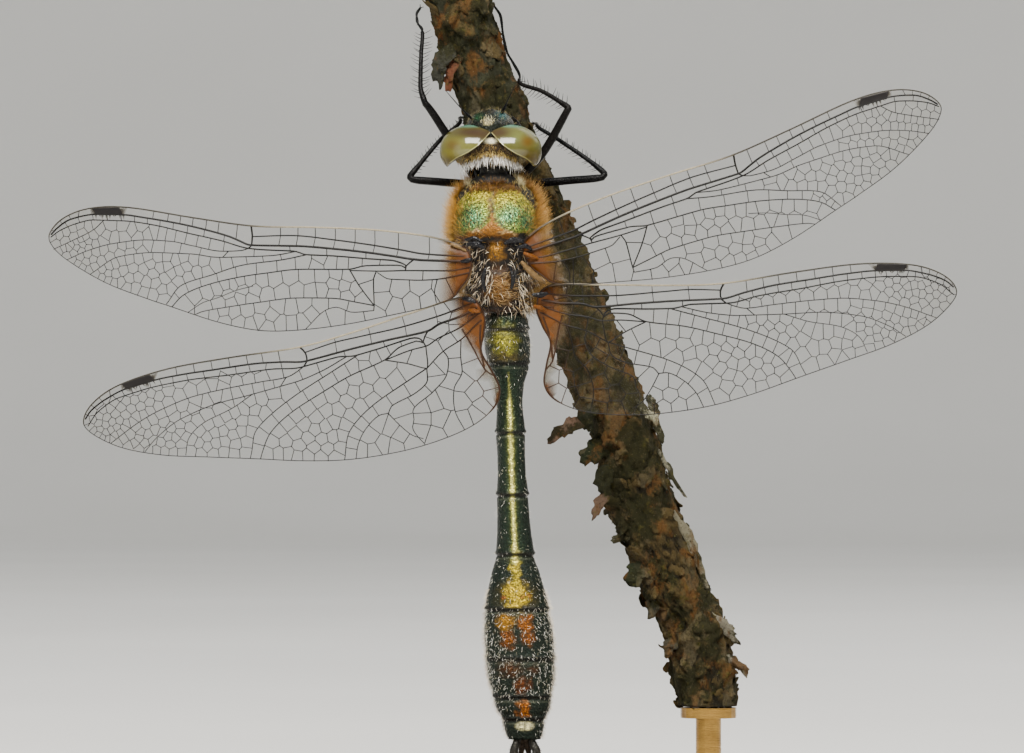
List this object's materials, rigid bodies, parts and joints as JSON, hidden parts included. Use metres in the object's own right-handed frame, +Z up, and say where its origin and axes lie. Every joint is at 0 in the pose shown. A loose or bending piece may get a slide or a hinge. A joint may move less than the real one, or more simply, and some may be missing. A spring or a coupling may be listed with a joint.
{
  "type": "dragonfly on a twig perch",
  "caption": "Life-size dragonfly with spread wings, gripping a cut pine twig head up, its twig held on a rod over a flat display base.",
  "frame": {"origin": "centre of the underside of the display base", "axes": "+Z up along the twig and body, +X to the animal's right, +Y from its back towards the twig"},
  "size_m": [0.0709, 0.038, 0.0735],
  "materials": {
    "body_cuticle": "metallic green-black cuticle with orange and gold patches and pale hairs",
    "face_cuticle": "glossy green-black cuticle",
    "eye_cornea": "glossy pale olive and brown compound eye",
    "leg_cuticle": "shiny black cuticle with spines",
    "wing_membrane": "clear glossy membrane with black veins and amber bases",
    "pine_bark": "rough flaking bark with lichen",
    "stand_walnut": "satin oiled walnut",
    "stand_brass": "satin brass"
  },
  "bodies": {
    "root": {"abdomen_01": "body_cuticle", "abdomen_02": "body_cuticle", "abdomen_03": "body_cuticle", "abdomen_04": "body_cuticle", "abdomen_05": "body_cuticle", "abdomen_06": "body_cuticle", "abdomen_07": "body_cuticle", "abdomen_08": "body_cuticle", "abdomen_09": "body_cuticle", "abdomen_10": "body_cuticle", "antenna_left": "leg_cuticle", "antenna_right": "leg_cuticle", "cercus_left": "leg_cuticle", "cercus_right": "leg_cuticle", "epiproct": "leg_cuticle", "eye_left": "eye_cornea", "eye_right": "eye_cornea", "face": "face_cuticle", "head": "body_cuticle", "leg_fore_left_femur": "leg_cuticle", "leg_fore_left_tarsus": "leg_cuticle", "leg_fore_left_tibia": "leg_cuticle", "leg_fore_right_femur": "leg_cuticle", "leg_fore_right_tarsus": "leg_cuticle", "leg_fore_right_tibia": "leg_cuticle", "leg_hind_left_femur": "leg_cuticle", "leg_hind_left_tarsus": "leg_cuticle", "leg_hind_left_tibia": "leg_cuticle", "leg_hind_right_femur": "leg_cuticle", "leg_hind_right_tarsus": "leg_cuticle", "leg_hind_right_tibia": "leg_cuticle", "leg_mid_left_femur": "leg_cuticle", "leg_mid_left_tarsus": "leg_cuticle", "leg_mid_left_tibia": "leg_cuticle", "leg_mid_right_femur": "leg_cuticle", "leg_mid_right_tarsus": "leg_cuticle", "leg_mid_right_tibia": "leg_cuticle", "neck": "body_cuticle", "perch_branch": "pine_bark", "prothorax": "body_cuticle", "stand_base": "stand_walnut", "stand_rod": "stand_brass", "thorax": "body_cuticle", "wing_fore_left": "wing_membrane", "wing_fore_right": "wing_membrane", "wing_hind_left": "wing_membrane", "wing_hind_right": "wing_membrane"}
  },
  "joints": []
}
